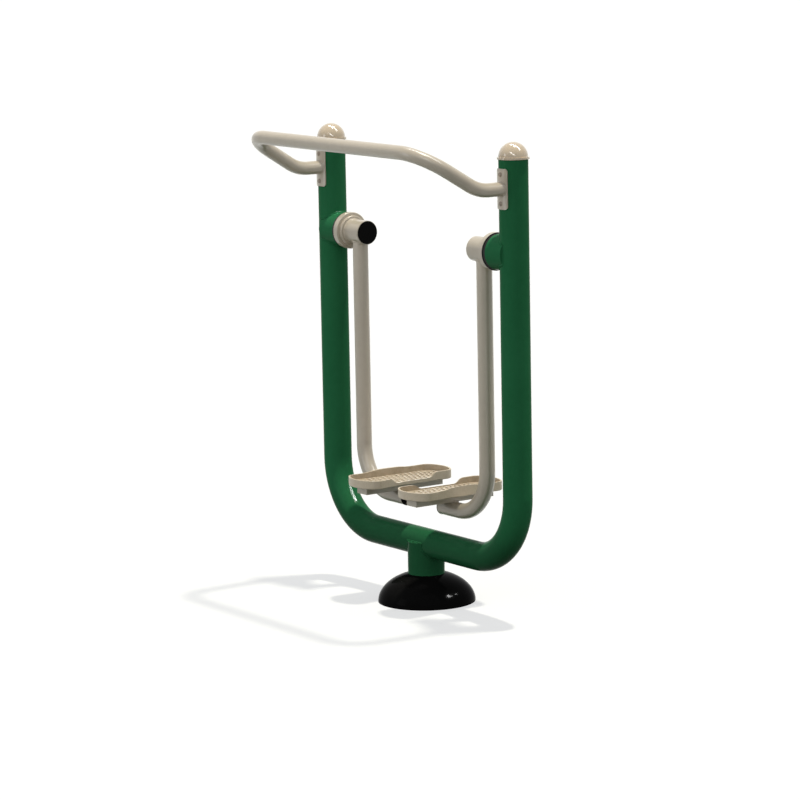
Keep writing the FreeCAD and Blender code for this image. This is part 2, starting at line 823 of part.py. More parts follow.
def make_hub():
    body = new_body("hub_sleeve")
    seat = S.bearing_dia / 2 + S.bearing_fit
    waist = seat - S.hub_shoulder
    flange_front = flange_back - S.hub_flange_width
    step_front = flange_front - S.hub_step_width
    profile = sketch(body, "XZ_Plane")
    chain(profile, [
        (hub_end, seat),
        (hub_end, hub_radius),
        (step_front, hub_radius),
        (step_front, hub_radius + S.hub_step),
        (flange_front, hub_radius + S.hub_step),
        (flange_front, flange_radius),
        (flange_back, flange_radius),
        (flange_back, seat),
        (back_bearing, seat),
        (back_bearing, waist),
        (front_bearing + S.bearing_width, waist),
        (front_bearing + S.bearing_width, seat),
    ])
    revolve(body, profile)
    round_edges(body, "Fillet", S.hub_edge, lambda edge: (
        is_ring(edge, flange_radius, flange_front)
        or is_ring(edge, hub_radius + S.hub_step, step_front)
        or is_ring(edge, hub_radius, step_front)))
    slot = sketch(body, "YZ_Plane", flange_back)
    half_width = S.stop_pin_dia / 2 + S.stop_clearance
    inner = S.stop_radius - half_width
    outer = S.stop_radius + half_width
    sweep = S.swing_limit + arcsine(half_width / S.stop_radius)
    chain(slot, [
        (-(outer * sine(sweep)), -(outer * cosine(sweep)), outer, 1),
        (outer * sine(sweep), -(outer * cosine(sweep))),
        (inner * sine(sweep), -(inner * cosine(sweep)), inner, -1),
        (-(inner * sine(sweep)), -(inner * cosine(sweep))),
    ])
    pocket(body, slot, S.stop_slot_depth)
    place(body, z=pivot_height)
    pair(body, "hub_sleeve")

    cap = new_body("hub_cap")
    rim = hub_radius - S.hub_cap_margin
    plug = S.bearing_dia / 2 - S.plug_clearance
    face = hub_end - S.hub_cap_thickness
    inside = plug - S.hub_cap_plug_wall
    profile = sketch(cap, "XZ_Plane")
    chain(profile, [
        (face, ZERO),
        (face, rim),
        (hub_end, rim),
        (hub_end, plug),
        (hub_end + S.hub_cap_plug, plug),
        (hub_end + S.hub_cap_plug, inside),
        (hub_end, inside),
        (hub_end, ZERO),
    ])
    revolve(cap, profile)
    round_edges(cap, "Fillet", S.hub_cap_thickness / 3, lambda edge: is_ring(edge, rim, face))
    place(cap, z=pivot_height)
    pair(cap, "hub_cap")


# Arm: straight down from the hub, then bent inwards under the pedal, its end closed.
def arm_route(body, run_end):
    path = sketch(body, "XZ_Plane")
    chain(path, [
        (arm_x, pivot_height),
        (arm_x, S.arm_run_height + S.arm_bend_radius, S.arm_bend_radius, -1),
        (arm_x - S.arm_bend_radius, S.arm_run_height),
        (run_end, S.arm_run_height),
    ], closed=False)
    return path


def make_arm():
    body = new_body("arm_pipe")
    radius = S.arm_dia / 2
    run_end = pedal_x - S.arm_run_end
    section = sketch(body, "XY_Plane", pivot_height)
    circle(section, arm_x, ZERO, radius)
    sweep(body, "AdditivePipe", section, arm_route(body, run_end))
    round_edges(body, "Fillet", S.arm_end_round, lambda edge: is_ring(edge, radius, run_end))
    bore = sketch(body, "XY_Plane", pivot_height)
    circle(bore, arm_x, ZERO, radius - S.arm_wall)
    sweep(body, "SubtractivePipe", bore, arm_route(body, run_end + S.arm_end_wall))
    cope = sketch(body, "YZ_Plane")
    circle(cope, ZERO, pivot_height, hub_radius)
    pocket(body, cope, S.frame_spacing, Midplane=True)
    pair(body, "arm_tube")


# Bracket: a steel channel, open below, notched over the arm's low run and welded to it.
def make_bracket():
    body = new_body("bracket_channel")
    left = pedal_x - S.channel_width / 2
    right = pedal_x + S.channel_width / 2
    end = S.channel_length / 2
    wall = S.channel_wall
    block = sketch(body, "XY_Plane", channel_bottom)
    rectangle(block, left, right, -end, end)
    pad(body, block, S.channel_height)
    inside = sketch(body, "XY_Plane", channel_bottom)
    rectangle(inside, left + wall, right - wall, wall - end, end - wall)
    pocket(body, inside, S.channel_height - wall, Reversed=True)
    notch = sketch(body, "YZ_Plane")
    circle(notch, ZERO, S.arm_run_height, S.arm_dia / 2)
    pocket(body, notch, S.frame_spacing, Midplane=True)
    holes = sketch(body, "XY_Plane", channel_top)
    for across in (-1, 1):
        for along in (-1, 1):
            circle(holes, pedal_x + across * S.bolt_spacing_across / 2,
                   along * S.bolt_spacing_along / 2, (S.bolt_dia + S.bolt_clearance) / 2)
    pocket(body, holes, wall)
    pair(body, "pedal_bracket")
    seat = channel_top - wall
    number = 0
    for across in (-1, 1):
        for along in (-1, 1):
            number += 1
            x = pedal_x + across * S.bolt_spacing_across / 2
            y = along * S.bolt_spacing_along / 2
            head = doc.addObject("Part::Prism", f"bolt_{number}_head")
            head.Polygon = HEX_SIDES
            bind(head, "Circumradius", S.bolt_head / 2 / hex_share)
            bind(head, "Height", S.bolt_head_height)
            place(head, x=x, y=y, z=seat - S.bolt_head_height)
            shank = cylinder(f"bolt_{number}_shank", S.bolt_dia / 2, S.bolt_length, x=x, y=y, z=seat)
            pair(fuse(f"bolt_{number}", head, shank), f"pedal_bolt_{number}")


# Pedal outline: round ends of two widths, their arcs tangent, and sides drawn in between.
def pedal_end(half, radius, corner, inset):
    """Where an end arc passes into its corner arc, and how deep that corner's centre lies."""
    share = (half - corner) / (radius - corner)
    rise = root(1 - share * share)
    across = (radius - inset) * share
    depth = radius - (radius - inset) * rise
    return across, depth, radius - (radius - corner) * rise


def pedal_sides():
    """The waist arc that touches both corner arcs: its radius, and its centre from theirs."""
    toe_half = S.pedal_width / 2
    heel_half = S.pedal_heel_width / 2
    toe_side = pedal_end(toe_half, S.pedal_toe_radius, S.pedal_toe_corner, ZERO)[2]
    heel_side = pedal_end(heel_half, S.pedal_heel_radius, S.pedal_heel_corner, ZERO)[2]
    shift = heel_half - S.pedal_heel_corner - toe_half + S.pedal_toe_corner
    run = noted("pedal_corner_run", S.pedal_length - toe_side - heel_side)
    gap = noted("pedal_corner_gap", root(run * run + shift * shift))
    mean_corner = (S.pedal_toe_corner + S.pedal_heel_corner) / 2
    radius = noted("pedal_waist_radius", gap * gap / (S.pedal_waist * 8) - mean_corner)
    to_toe = radius + S.pedal_toe_corner
    to_heel = radius + S.pedal_heel_corner
    along = noted("pedal_waist_along", (to_toe * to_toe - to_heel * to_heel + gap * gap) / (gap * 2))
    out = noted("pedal_waist_out", root(to_toe * to_toe - along * along))
    across = noted("pedal_waist_across", (shift * along + run * out) / gap)
    depth = noted("pedal_waist_depth", (run * along - shift * out) / gap)
    return radius, (across, depth), (across - shift, depth - run)


def pedal_outline(item, inset, sides):
    front = S.pedal_middle - S.pedal_length / 2
    back = S.pedal_middle + S.pedal_length / 2
    toe_half = S.pedal_width / 2
    heel_half = S.pedal_heel_width / 2
    toe, toe_depth, toe_side = pedal_end(toe_half, S.pedal_toe_radius, S.pedal_toe_corner, inset)
    heel, heel_depth, heel_side = pedal_end(heel_half, S.pedal_heel_radius, S.pedal_heel_corner, inset)
    waist, from_toe, from_heel = sides
    toe_share = (S.pedal_toe_corner - inset) / (waist + S.pedal_toe_corner)
    heel_share = (S.pedal_heel_corner - inset) / (waist + S.pedal_heel_corner)
    toe_across = toe_half - S.pedal_toe_corner + from_toe[0] * toe_share
    toe_back = front + toe_side + from_toe[1] * toe_share
    heel_across = heel_half - S.pedal_heel_corner + from_heel[0] * heel_share
    heel_front = back - heel_side + from_heel[1] * heel_share
    chain(item, [
        (pedal_x - toe, front + toe_depth, S.pedal_toe_radius - inset, 1),
        (pedal_x + toe, front + toe_depth, S.pedal_toe_corner - inset, 1),
        (pedal_x + toe_across, toe_back, waist + inset, -1),
        (pedal_x + heel_across, heel_front, S.pedal_heel_corner - inset, 1),
        (pedal_x + heel, back - heel_depth, S.pedal_heel_radius - inset, 1),
        (pedal_x - heel, back - heel_depth, S.pedal_heel_corner - inset, 1),
        (pedal_x - heel_across, heel_front, waist + inset, -1),
        (pedal_x - toe_across, toe_back, S.pedal_toe_corner - inset, 1),
    ])


# Pedal rim: level at toe and heel, with a low middle inside and a humped one outside.
def rim_bend(level, middle, radius, turn):
    """Length of the two equal arcs between a rim level and the middle one, and their meeting height."""
    depth = (middle - level) * turn
    return root(radius * depth * 4 - depth * depth), (level + middle) / 2


def rim_cutter(body, x, middle, front, back, radius, turn):
    """Section of the space above the rim at one side of the pedal."""
    toe_level = channel_top + S.rim_toe
    heel_level = channel_top + S.rim_heel
    ceiling = channel_top + S.rim_crest + S.cut_margin + S.cut_margin
    toe_reach, toe_meeting = rim_bend(toe_level, middle, radius, turn)
    heel_reach, heel_meeting = rim_bend(heel_level, middle, radius, turn)
    profile = sketch(body, "YZ_Plane", x)
    chain(profile, [
        (-S.pedal_length, toe_level),
        (front - toe_reach, toe_level, radius, turn),
        (front - toe_reach / 2, toe_meeting, radius, -turn),
        (front, middle),
        (back, middle, radius, -turn),
        (back + heel_reach / 2, heel_meeting, radius, turn),
        (back + heel_reach, heel_level),
        (S.pedal_length, heel_level),
        (S.pedal_length, ceiling),
        (-S.pedal_length, ceiling),
    ])
    return profile


def make_pedal():
    body = new_body("pedal_tray")
    floor_top = channel_top + S.pedal_sole + S.pedal_floor
    blank_height = S.rim_crest + S.cut_margin

    sides = pedal_sides()
    outline = sketch(body, "XY_Plane", channel_top)
    pedal_outline(outline, ZERO, sides)
    pad(body, outline, blank_height)
    round_edges(body, "Fillet", S.pedal_edge,
                lambda edge: all(near(vertex.Z, channel_top) for vertex in edge.Vertexes))
    hollow = sketch(body, "XY_Plane", channel_top + blank_height)
    pedal_outline(hollow, S.pedal_wall, sides)
    pocket(body, hollow, blank_height - S.pedal_sole - S.pedal_floor)

    inner_side = pedal_x - S.pedal_width / 2 - S.cut_margin
    outer_side = pedal_x + S.pedal_width / 2 + S.cut_margin
    dip = rim_cutter(body, inner_side, channel_top + S.rim_dip,
                     S.rim_dip_front, S.rim_dip_back, S.rim_dip_radius, -1)
    hump = rim_cutter(body, outer_side, channel_top + S.rim_crest,
                      S.rim_crest_front, S.rim_crest_back, S.rim_crest_radius, 1)
    trim = body.newObject("PartDesign::SubtractiveLoft", "rim_trim")
    trim.Profile = dip
    trim.Sections = [hump]
    trim.Ruled = True
    changed(trim, -1)

    underside = sketch(body, "XY_Plane", channel_top)
    pedal_outline(underside, S.pedal_wall, sides)
    pocket(body, underside, S.pedal_sole, Reversed=True)
    seat = sketch(body, "XY_Plane", channel_top)
    rectangle(seat, pedal_x - S.channel_width / 2, pedal_x + S.channel_width / 2,
              -(S.channel_length / 2), S.channel_length / 2)
    pad(body, seat, S.pedal_sole)
    rib_reach = (S.pedal_width + S.pedal_heel_width) / 4 - S.pedal_waist - S.rib_inset
    ribs = sketch(body, "XY_Plane", channel_top)
    for rib in range(RIB_COUNT):
        y = S.rib_spacing * (rib - (RIB_COUNT - 1) / 2)
        rectangle(ribs, pedal_x - rib_reach, pedal_x + rib_reach,
                  y - S.rib_thickness / 2, y + S.rib_thickness / 2)
    pad(body, ribs, S.pedal_sole)
    screws = sketch(body, "XY_Plane", channel_top)
    for across in (-1, 1):
        for along in (-1, 1):
            circle(screws, pedal_x + across * S.bolt_spacing_across / 2,
                   along * S.bolt_spacing_along / 2, (S.bolt_dia + S.bolt_clearance) / 2)
    pocket(body, screws, S.bolt_length - S.channel_wall + S.bolt_clearance, Reversed=True)

    for columns, end in TREAD_FIELDS:
        treads = sketch(body, "XY_Plane", floor_top)
        steps = int((sheet.pedal_length - 2 * getattr(sheet, end)) / sheet.tread_pitch_along)
        first_row = S.pedal_middle - S.tread_pitch_along * steps / 2
        for column in columns:
            x = pedal_x + S.tread_pitch_across * column
            y = first_row + S.tread_pitch_along * (column % 2) / 2
            chain(treads, [
                (x - S.tread_half_length, y),
                (x, y - S.tread_half_width),
                (x + S.tread_half_length, y),
                (x, y + S.tread_half_width),
            ])
        row = pad(body, treads, S.tread_height)
        pattern(body, "LinearPattern", row, treads, "V_Axis", S.tread_pitch_along * steps, steps + 1)
    pair(body, "pedal")


make_frame()
make_column()
make_foot()
make_dome()
make_tube_cap()
make_handlebar()
make_bar_plate()
make_stub()
make_inner_rings()
make_seal()
make_outer_rings()
make_hub()
make_arm()
make_bracket()
make_pedal()
doc.recompute()

failed = [item.Name for item in doc.Objects if set(item.State) & {"Invalid", "Error"}]
assert not failed, failed
for item in nodes:
    shape = item.Shape
    assert not shape.isNull() and shape.isValid(), item.Label
    assert len(shape.Solids) == 1, (item.Label, len(shape.Solids))
os.makedirs("parts", exist_ok=True)
for item in nodes:
    item.Shape.exportStep(f"parts/{item.Label}.step")
print(len(nodes), "pieces")
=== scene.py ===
import json
import math
import random

import bpy
from mathutils import Matrix, Vector, noise

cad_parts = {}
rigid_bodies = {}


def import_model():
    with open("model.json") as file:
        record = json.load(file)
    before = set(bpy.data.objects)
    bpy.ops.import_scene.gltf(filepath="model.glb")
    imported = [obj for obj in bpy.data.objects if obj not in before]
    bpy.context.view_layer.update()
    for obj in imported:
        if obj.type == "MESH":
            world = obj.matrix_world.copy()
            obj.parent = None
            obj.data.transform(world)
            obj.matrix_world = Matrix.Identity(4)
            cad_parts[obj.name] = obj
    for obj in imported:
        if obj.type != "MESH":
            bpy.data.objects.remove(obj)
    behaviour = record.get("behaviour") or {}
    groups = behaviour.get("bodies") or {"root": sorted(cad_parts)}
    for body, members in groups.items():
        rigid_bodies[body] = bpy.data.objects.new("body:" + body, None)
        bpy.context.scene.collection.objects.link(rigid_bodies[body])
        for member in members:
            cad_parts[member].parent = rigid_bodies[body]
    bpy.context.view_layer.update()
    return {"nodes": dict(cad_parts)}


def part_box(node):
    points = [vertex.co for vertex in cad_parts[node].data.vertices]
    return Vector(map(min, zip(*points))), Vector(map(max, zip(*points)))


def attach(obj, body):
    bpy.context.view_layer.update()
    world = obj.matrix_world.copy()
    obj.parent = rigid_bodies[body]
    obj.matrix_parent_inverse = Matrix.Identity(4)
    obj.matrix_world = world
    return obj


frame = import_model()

# Looks of the outdoor air walker: materials and edge rounding for the imported solids, the weld beads
# and plugs that they leave out, black rubber rings that paint the shade in the hubs' gaps, painted
# shade near the ground, and a white studio seen from the photograph's angle. Metres; right is +X, and
# the handlebar is towards -Y.

NODES = frame["nodes"]
SIDES = ("left", "right")
X, Y, Z = 0, 1, 2
MM = 0.001
# The handlebar's tube, and how far the hub's tube stands out past its end cap.
BAR_RADIUS = 21 * MM
HUB_CAP_MARGIN = 1.7 * MM


def corners(name):
    """The low and the high corner of one piece's box."""
    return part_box(name)


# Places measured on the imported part.
frame_low, frame_high = corners("u_frame")
tube_radius = (frame_high.y - frame_low.y) / 2
upright_x = frame_high.x - tube_radius
run_height = frame_low.z + tube_radius
column_low, column_high = corners("column")
column_radius = (column_high.x - column_low.x) / 2
column_top = column_high.z
stub_low, stub_high = corners("right_hub_stub")
stub_radius = (stub_high.z - stub_low.z) / 2
pivot_height = (stub_high.z + stub_low.z) / 2
plate_low, plate_high = corners("right_bar_plate")
plate_outside = -plate_low.y
bar_height = (plate_low.z + plate_high.z) / 2
arm_low, arm_high = corners("right_arm_tube")
arm_radius = (arm_high.y - arm_low.y) / 2
arm_x = arm_high.x - arm_radius
arm_run_height = arm_low.z + arm_radius
cap_low, cap_high = corners("right_hub_cap")
hub_radius = (cap_high.z - cap_low.z) / 2 + HUB_CAP_MARGIN
flange_back = corners("right_hub_sleeve")[1].x
bracket_low, bracket_high = corners("right_pedal_bracket")
pedal_low, pedal_high = corners("right_pedal")


# ---- materials ----
def srgb(red, green, blue):
    def linear(value):
        value /= 255
        return value / 12.92 if value <= 0.04045 else ((value + 0.055) / 1.055) ** 2.4

    return (linear(red), linear(green), linear(blue), 1.0)


# Sockets of a Mix node when it mixes colours: its two colours and its result.
MIX_FIRST = 6
MIX_SECOND = 7
MIX_RESULT = 2


class Tree:
    """Short calls for building the nodes of one material."""

    def __init__(self, name):
        self.material = bpy.data.materials.new(name)
        self.material.use_nodes = True
        self.tree = self.material.node_tree
        self.shader = self.tree.nodes["Principled BSDF"]
        coordinates = self.tree.nodes.new("ShaderNodeTexCoord")
        self.place = coordinates.outputs["Object"]
        self.normal = coordinates.outputs["Normal"]

    def new(self, kind, **settings):
        item = self.tree.nodes.new(f"ShaderNode{kind}")
        for name, value in settings.items():
            setattr(item, name, value)
        return item

    def link(self, source, target):
        self.tree.links.new(source, target)

    def put(self, target, value):
        if isinstance(value, bpy.types.NodeSocket):
            self.link(value, target)
        else:
            target.default_value = value

    def noise(self, scale, detail=3.0, rough=0.5, stretch=None, distortion=0.0):
        """Cloudy noise with about this many clouds in a metre."""
        item = self.new("TexNoise")
        item.inputs["Scale"].default_value = scale
        item.inputs["Detail"].default_value = detail
        item.inputs["Roughness"].default_value = rough
        item.inputs["Distortion"].default_value = distortion
        source = self.place
        if stretch:
            mapping = self.new("Mapping")
            mapping.inputs["Scale"].default_value = stretch
            self.link(self.place, mapping.inputs["Vector"])
            source = mapping.outputs["Vector"]
        self.link(source, item.inputs["Vector"])
        return item.outputs["Fac"]

    def cells(self, scale, output="Distance"):
        """Cells like grains or zinc flowers, with about this many in a metre."""
        item = self.new("TexVoronoi")
        item.inputs["Scale"].default_value = scale
        self.link(self.place, item.inputs["Vector"])
        return item.outputs[output]

    def span(self, value, low, high, to_low=0.0, to_high=1.0):
        """A soft step: to_low where the value is at low, to_high where it is at high."""
        item = self.new("MapRange", interpolation_type="SMOOTHSTEP")
        self.put(item.inputs["Value"], value)
        item.inputs["From Min"].default_value = low
        item.inputs["From Max"].default_value = high
        item.inputs["To Min"].default_value = to_low
        item.inputs["To Max"].default_value = to_high
        return item.outputs["Result"]

    def math(self, operation, first, second=0.0):
        item = self.new("Math", operation=operation)
        self.put(item.inputs[0], first)
        self.put(item.inputs[1], second)
        return item.outputs[0]

    def plus(self, first, *others):
        for other in others:
            first = self.math("ADD", first, other)
        return first

    def times(self, first, *others):
        for other in others:
            first = self.math("MULTIPLY", first, other)
        return first

    def mix(self, factor, first, second):
        item = self.new("Mix", data_type="RGBA")
        self.put(item.inputs["Factor"], factor)
        self.put(item.inputs[MIX_FIRST], first)
        self.put(item.inputs[MIX_SECOND], second)
        return item.outputs[MIX_RESULT]

    def part(self, vector, axis):
        """One axis of a vector, or one channel of a colour."""
        item = self.new("SeparateXYZ")
        self.link(vector, item.inputs[0])
        return item.outputs[axis]

    def bumps(self, *layers):
        """Relief of the surface. Each layer: height, strength, depth in metres."""
        last = None
        for height, strength, depth in layers:
            item = self.new("Bump")
            item.inputs["Strength"].default_value = strength
            item.inputs["Distance"].default_value = depth
            self.put(item.inputs["Height"], height)
            if last is not None:
                self.link(last, item.inputs["Normal"])
            last = item.outputs["Normal"]
        self.link(last, self.shader.inputs["Normal"])

    def finish(self, colour, rough, metallic=0.0, specular=0.5, coat=0.0, coat_rough=0.1):
        self.put(self.shader.inputs["Base Color"], colour)
        self.put(self.shader.inputs["Roughness"], rough)
        self.shader.inputs["Metallic"].default_value = metallic
        self.shader.inputs["Specular IOR Level"].default_value = specular
        self.shader.inputs["Coat Weight"].default_value = coat
        self.shader.inputs["Coat Roughness"].default_value = coat_rough
        return self.material


DUST = (0.62, 0.60, 0.56, 1.0)
PLASTIC_DUST = (0.42, 0.40, 0.36, 1.0)
# Painted shade near the ground: the dark colour the paint fades to there, and the height over which it
# fades.
GROUND_SHADE_COLOUR = (0.010, 0.030, 0.014, 1.0)
GROUND_SHADE_FADE = 0.16


def paint(name, light, dark, rough, coat, peel=0.10, dusty=0.05, specular=0.5,
          ground_shade_amount=0.0, ground_shade_top=0.37):
    """Sprayed coat: drifting shade, mottle, orange peel, rubbed streaks, dust, and painted shade that
    darkens it towards the ground.
    """
    t = Tree(name)
    drift = t.span(t.noise(3.2, detail=2.0), 0.32, 0.68)
    mottle = t.span(t.noise(46.0, detail=5.0, rough=0.6), 0.30, 0.72)
    shade = t.plus(t.times(drift, 0.62), t.times(mottle, 0.38))
    colour = t.mix(shade, dark, light)
    upward = t.span(t.part(t.normal, Z), 0.35, 0.98)
    patches = t.span(t.noise(17.0, detail=6.0, rough=0.65), 0.38, 0.70)
    colour = t.mix(t.times(upward, patches, dusty), colour, DUST)
    # Painted shade: below the given height the paint darkens towards the ground.
    if ground_shade_amount:
        edge = t.plus(t.part(t.place, Z), t.times(t.noise(6.0, detail=5.0, rough=0.6), 0.06))
        ground_shade_mask = t.times(t.span(edge, ground_shade_top, ground_shade_top - GROUND_SHADE_FADE), ground_shade_amount)
        colour = t.mix(ground_shade_mask, colour, GROUND_SHADE_COLOUR)
    streaks = t.noise(30.0, detail=8.0, rough=0.7, stretch=(1.0, 1.0, 0.22), distortion=0.6)
    rub = t.span(streaks, 0.56, 0.78)
    uneven = t.times(t.noise(24.0, detail=5.0, rough=0.6), 0.10)
    roughness = t.plus(uneven, rough - 0.05, t.times(rub, 0.09))
    t.bumps((t.noise(230.0, detail=2.0, rough=0.5), peel, 0.7 * MM),
            (t.noise(900.0, detail=2.0), peel * 0.5, 0.2 * MM))
    return t.finish(colour, roughness, specular=specular, coat=coat, coat_rough=0.06)


# Painted shade for the trays' inner walls, and the colour of soil on their floors.
INNER_WALL_SHADE = srgb(128, 108, 80)
FLOOR_SOIL = srgb(112, 86, 56)


def casting(name, light, dark, worn, floor, lip, middle):
    """Painted sand casting: pebbled skin, painted shade on the inner walls, soil between treads rubbed
    pale.

    floor and lip are the heights of the tray's floor and of the top of the rubbed band, and middle
    is the right tray's centre.
    """
    t = Tree(name)
    drift = t.span(t.noise(5.0, detail=3.0), 0.30, 0.70)
    pebble = t.cells(420.0)
    grain = t.noise(160.0, detail=6.0, rough=0.65)
    shade = t.plus(t.times(drift, 0.5), t.times(t.span(grain, 0.3, 0.7), 0.5))
    colour = t.mix(shade, dark, light)
    height = t.part(t.place, Z)
    upward = t.span(t.part(t.normal, Z), 0.55, 0.95)
    tips = t.times(t.span(height, floor + 1.2 * MM, floor + 2.3 * MM),
                   t.span(height, lip, lip - 4.0 * MM))
    # How far the surface faces the tray's centre; the left tray mirrors the right one.
    across = t.math("SUBTRACT", t.math("ABSOLUTE", t.part(t.place, X)), abs(middle.x))
    across = t.times(across, t.math("SIGN", t.part(t.place, X)), t.part(t.normal, X))
    along = t.times(t.math("SUBTRACT", t.part(t.place, Y), middle.y), t.part(t.normal, Y))
    inner_wall_mask = t.span(t.plus(across, along), -10.0 * MM, -30.0 * MM)
    cloudy = t.span(t.noise(38.0, detail=7.0, rough=0.7), 0.30, 0.74, to_low=0.55, to_high=1.0)
    # Painted shade: walls that face the tray's centre are darkened, in clouds.
    colour = t.mix(t.times(inner_wall_mask, cloudy, 0.62), colour, INNER_WALL_SHADE)
    patches = t.span(t.noise(75.0, detail=5.0, rough=0.6), 0.40, 0.56)
    colour = t.mix(t.times(tips, upward, patches, 0.95), colour, worn)
    # Soil lies on the tray's floor, and more thinly on the treads where they aren't rubbed.
    crumbs = t.span(t.noise(52.0, detail=7.0, rough=0.7), 0.36, 0.60, to_low=0.30, to_high=1.0)
    low = t.times(t.span(height, floor + 1.0 * MM, floor - 0.4 * MM), upward, crumbs)
    trodden = t.times(t.math("SUBTRACT", 1.0, patches), t.span(height, lip, lip - 2.0 * MM))
    soiled = t.math("MAXIMUM", low, t.times(trodden, upward, 0.45))
    colour = t.mix(t.times(soiled, 0.58), colour, FLOOR_SOIL)
    roughness = t.plus(t.times(t.noise(60.0, detail=5.0), 0.18), 0.36)
    t.bumps((pebble, 0.22, 0.6 * MM), (grain, 0.22, 1.0 * MM))
    return t.finish(colour, roughness, coat=0.08, coat_rough=0.25)


def moulded(name, light, dark, rough, grain=0.0, coat=0.0, dusty=0.0, specular=0.5, peel=0.06):
    """Moulded plastic: even colour with a faint cloud, a fine texture and some dust."""
    t = Tree(name)
    cloud = t.span(t.noise(9.0, detail=4.0, rough=0.55), 0.30, 0.72)
    fine = t.span(t.noise(260.0, detail=3.0), 0.3, 0.7)
    shade = t.plus(t.times(cloud, 0.6), t.times(fine, 0.4))
    colour = t.mix(shade, dark, light)
    if dusty:
        patches = t.span(t.noise(22.0, detail=8.0, rough=0.7), 0.42, 0.76)
        upward = t.span(t.part(t.normal, Z), 0.2, 0.95)
        colour = t.mix(t.times(patches, upward, dusty), colour, PLASTIC_DUST)
    scuffs = t.span(t.noise(48.0, detail=9.0, rough=0.72, stretch=(1.0, 0.3, 1.0)), 0.60, 0.80)
    uneven = t.times(t.noise(18.0, detail=4.0), 0.06)
    roughness = t.plus(uneven, rough - 0.03, t.times(scuffs, 0.12))
    layers = [(t.noise(300.0, detail=2.0), peel, 0.4 * MM)]
    if grain:
        layers.append((t.cells(1500.0), grain, 0.3 * MM))
    t.bumps(*layers)
    return t.finish(colour, roughness, specular=specular, coat=coat, coat_rough=0.04)


def steel(name, light, dark, rough, turned):
    """Plated or ground steel: zinc flowers, drifting shade and faint turning lines."""
    t = Tree(name)
    spangle = t.cells(210.0, output="Color")
    patch = t.span(t.part(spangle, X), 0.1, 0.9)
    drift = t.span(t.noise(30.0, detail=6.0, rough=0.6), 0.3, 0.7)
    colour = t.mix(t.plus(t.times(patch, 0.35), t.times(drift, 0.65)), dark, light)
    roughness = t.plus(t.times(drift, 0.16), rough)
    lines = t.noise(60.0, detail=4.0, rough=0.6, stretch=(30.0, 1.0, 1.0))
    t.bumps((lines, turned, 0.2 * MM), (t.noise(500.0, detail=3.0), 0.08, 0.2 * MM))
    return t.finish(colour, roughness, metallic=0.92)


def rubber(name, light, dark):
    """Matt rubber with a cloudy bloom and a fine skin."""
    t = Tree(name)
    cloud = t.span(t.noise(40.0, detail=6.0, rough=0.6), 0.3, 0.7)
    colour = t.mix(cloud, dark, light)
    t.bumps((t.noise(700.0, detail=3.0), 0.25, 0.4 * MM))
    return t.finish(colour, t.plus(t.times(cloud, 0.12), 0.62), specular=0.35)


# Heights over the pedal's underside: the tray's floor, and the top of the band that shoes rub.
TRAY_FLOOR = 9.0 * MM
TRAY_RUBBED = 16.0 * MM

# The last settings of the green and beige paints set how much painted shade darkens them near the
# ground.
green = paint("green_gloss_paint", srgb(46, 118, 78), srgb(41, 111, 72), rough=0.14, coat=0.0,
              peel=0.008, specular=0.008, dusty=0.01, ground_shade_amount=0.42)
beige = paint("beige_satin_paint", srgb(202, 192, 177), srgb(193, 183, 167), rough=0.30, coat=0.30,
              peel=0.06, ground_shade_amount=0.17, ground_shade_top=0.54)
black_gloss = moulded("black_gloss_cover", (0.0060, 0.0060, 0.0062, 1), (0.0036, 0.0036, 0.0036, 1),
                      rough=0.12, dusty=0.004, specular=0.007, peel=0.0)
black_matte = moulded("black_matte_cap", (0.0032, 0.0032, 0.0032, 1), (0.0012, 0.0012, 0.0012, 1),
                      rough=0.5, grain=0.5, dusty=0.004, specular=0.03)
beige_cap = moulded("beige_cap_plastic", srgb(213, 195, 169), srgb(201, 182, 154), rough=0.14,
                    coat=1.0, dusty=0.03, peel=0.004)
seal = rubber("seal_rubber_black", (0.016, 0.016, 0.017, 1), (0.008, 0.008, 0.008, 1))
bearing = steel("bearing_polished", (0.62, 0.62, 0.63, 1), (0.46, 0.46, 0.48, 1),
                rough=0.20, turned=0.15)
zinc = steel("zinc_plated", (0.56, 0.57, 0.60, 1), (0.36, 0.37, 0.39, 1), rough=0.34, turned=0.05)
screw = paint("screw_grey_paint", srgb(176, 162, 148), srgb(156, 142, 128), rough=0.42, coat=0.0,
              peel=0.06)
cast = casting("pedal_cast_paint", srgb(216, 204, 184), srgb(200, 186, 163),
               worn=srgb(240, 234, 222), floor=pedal_low.z + TRAY_FLOOR,
               lip=pedal_low.z + TRAY_RUBBED, middle=(pedal_low + pedal_high) / 2)

PAINTS = {
    "green_paint": green,
    "beige_paint": beige,
    "pedal_casting": cast,
    "beige_plastic": beige_cap,
    "black_gloss_plastic": black_gloss,
    "black_matte_plastic": black_matte,
    "seal_rubber": seal,
    "bearing_steel": bearing,
    "screw_paint": screw,
    "zinc_steel": zinc,
}

for item in NODES.values():
    slot_name = item.data.materials[0].name.split(".")[0]
    item.data.materials.clear()
    item.data.materials.append(PAINTS[slot_name])


# ---- edges of the bar plates and the pedals' channels ----
EDGE_WIDTH = 0.8 * MM
EDGE_SEGMENTS = 2
EDGE_ANGLE = math.radians(30.0)
FLAT_ANGLE = math.radians(0.3)
WEIGHT_BY_AREA = 50


